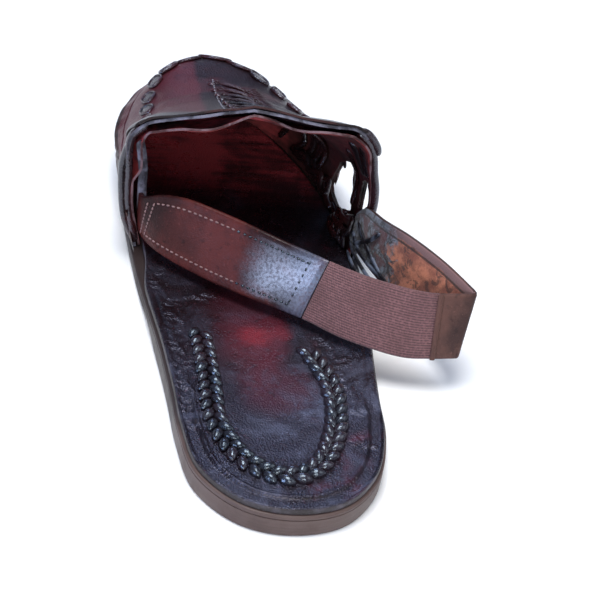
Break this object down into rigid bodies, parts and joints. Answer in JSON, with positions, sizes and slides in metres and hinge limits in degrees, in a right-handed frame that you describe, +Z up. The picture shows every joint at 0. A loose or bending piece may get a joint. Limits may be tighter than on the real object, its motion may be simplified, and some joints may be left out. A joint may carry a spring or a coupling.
{
  "type": "leather sling-back sandal",
  "caption": "Closed-toe leather sandal with a high vamp, slit outer wall, plaited toe rand, braided heel pad and an elastic sling strap.",
  "frame": {"origin": "on the ground, under the middle of the sandal's box", "axes": "+Y from heel to toe, +X to the outer side of a right foot, +Z up"},
  "size_m": [0.1338, 0.2644, 0.081],
  "materials": {
    "sole_leather": "matt, burnished edge",
    "insole_leather": "glossy antiqued",
    "upper_leather": "glossy antiqued",
    "thong_leather": "satin",
    "elastic_web": "ribbed, matt"
  },
  "bodies": {
    "root": {"outsole": "sole_leather", "insole": "insole_leather", "insole_braid": "thong_leather", "upper": "upper_leather", "plaited_rand": "thong_leather", "strap_inner": "upper_leather", "strap_elastic": "elastic_web", "strap_outer": "upper_leather"}
  },
  "joints": []
}
